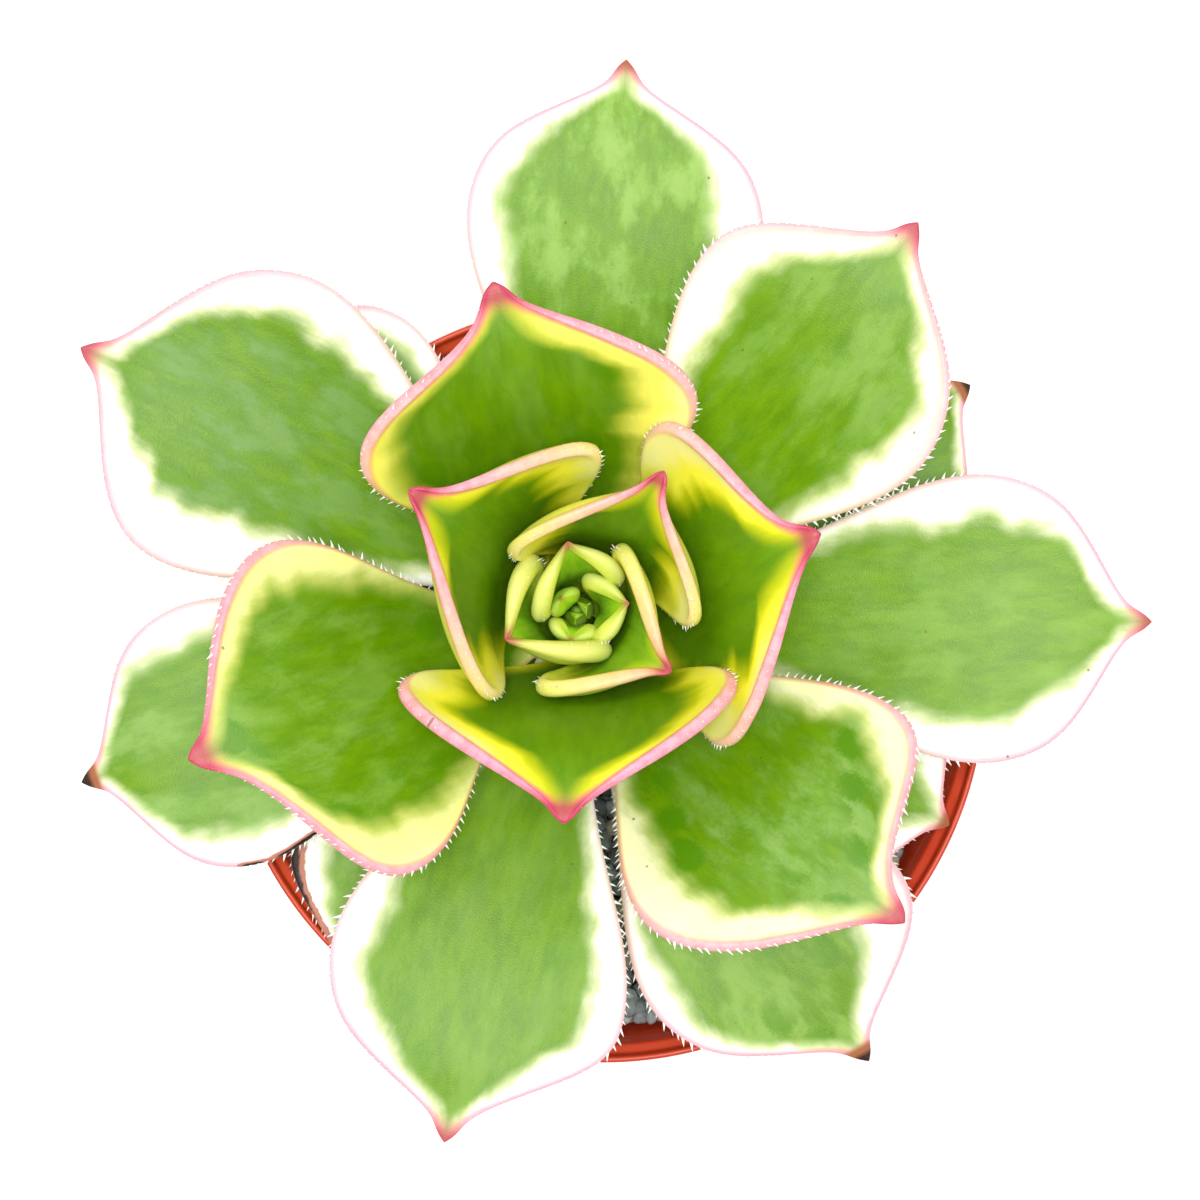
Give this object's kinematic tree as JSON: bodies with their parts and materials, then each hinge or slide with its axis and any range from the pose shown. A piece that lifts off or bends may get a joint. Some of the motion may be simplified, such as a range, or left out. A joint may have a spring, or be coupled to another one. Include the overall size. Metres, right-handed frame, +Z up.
{
  "type": "potted succulent",
  "caption": "Open rosette of fleshy spoon-shaped leaves with pale toothed margins, in a round plastic nursery pot topped with grit.",
  "frame": {"origin": "centre of the pot's base, on the surface it stands on", "axes": "+Z up along the pot's axis; +X to the right and +Y away from the viewer when the plant is seen from above"},
  "size_m": [0.1188, 0.1185, 0.1292],
  "materials": {
    "pot_plastic": "satin",
    "potting_mix": "matte",
    "grit": "matte",
    "stem": "matte",
    "leaf": "satin"
  },
  "bodies": {
    "root": {"pot": "pot_plastic", "potting_mix": "potting_mix", "grit_topdressing": "grit", "stem": "stem", "leaf_01": "leaf", "leaf_02": "leaf", "leaf_03": "leaf", "leaf_04": "leaf", "leaf_05": "leaf", "leaf_06": "leaf", "leaf_07": "leaf", "leaf_08": "leaf", "leaf_09": "leaf", "leaf_10": "leaf", "leaf_11": "leaf", "leaf_12": "leaf", "leaf_13": "leaf", "leaf_14": "leaf", "leaf_15": "leaf", "leaf_16": "leaf", "leaf_17": "leaf", "leaf_18": "leaf", "leaf_19": "leaf", "leaf_20": "leaf", "leaf_21": "leaf", "leaf_22": "leaf", "leaf_23": "leaf", "leaf_24": "leaf", "leaf_25": "leaf", "leaf_26": "leaf"}
  },
  "joints": []
}
